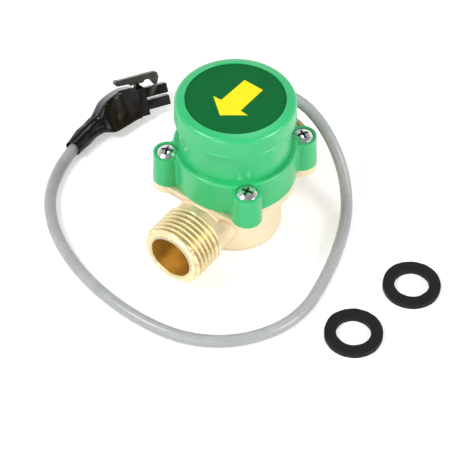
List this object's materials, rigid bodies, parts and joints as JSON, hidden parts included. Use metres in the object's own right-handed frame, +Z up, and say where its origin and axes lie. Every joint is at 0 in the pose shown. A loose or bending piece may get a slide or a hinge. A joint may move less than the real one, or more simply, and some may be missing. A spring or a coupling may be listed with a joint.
{
  "type": "flow switch",
  "caption": "Inline flow switch: brass body with male threaded ports, green sensing head, free lead with a latching two-way plug, loose union washers.",
  "frame": {"origin": "centre of the flat underside of the brass bowl, which the body stands on", "axes": "+Z up through the head, -Y out of the outlet, +Y out of the inlet, +X to the side"},
  "size_m": [0.1353, 0.0883, 0.054],
  "materials": {
    "cast_brass": "sand cast, machined threads",
    "seal_rubber": "matte",
    "green_plastic": "moulded gloss",
    "label_film": "satin print",
    "screw_chrome": "bright plated",
    "white_plastic": "moulded",
    "magnet_metal": "nickel plated",
    "board_laminate": "lacquered",
    "reed_glass": "clear",
    "tinned_metal": "tinned",
    "black_plastic": "moulded satin",
    "component_coat": "dipped",
    "core_insulation": "satin",
    "cable_jacket": "satin",
    "shrink_sleeve": "glossy, wrinkled",
    "washer_rubber": "cut edge"
  },
  "bodies": {
    "valve": {"valve_body": "cast_brass", "cover_seal": "seal_rubber", "switch_housing": "green_plastic", "housing_cap": "green_plastic", "cap_label": "label_film", "housing_screws": "screw_chrome", "circuit_board": "board_laminate", "reed_glass": "reed_glass", "reed_leads": "tinned_metal", "triac_case": "black_plastic", "triac_frame": "tinned_metal", "gate_resistor": "component_coat", "snubber_capacitor": "component_coat", "lead_cores": "core_insulation", "cable_grommet": "seal_rubber", "cable": "cable_jacket", "heat_shrink_sleeve": "shrink_sleeve", "connector_housing": "black_plastic", "contact_terminals": "tinned_metal", "outlet_washer": "washer_rubber", "inlet_washer": "washer_rubber"},
    "piston": {"flow_piston": "white_plastic", "piston_seal": "seal_rubber", "piston_magnet": "magnet_metal", "magnet_plug": "white_plastic"},
    "latch": {"connector_latch": "black_plastic"}
  },
  "joints": [
    {"name": "piston_lift", "type": "slide", "parent": "valve", "child": "piston", "axis": [0, 0, 1], "range_m": [0, 0.007]},
    {"name": "latch_rock", "type": "hinge", "parent": "valve", "child": "latch", "pos_m": [-0.05715, 0.02291, 0.01056], "axis": [0.6953, -0.4515, 0.5592], "range_deg": [0, 8], "stiffness_Nm_per_rad": 0.02}
  ]
}
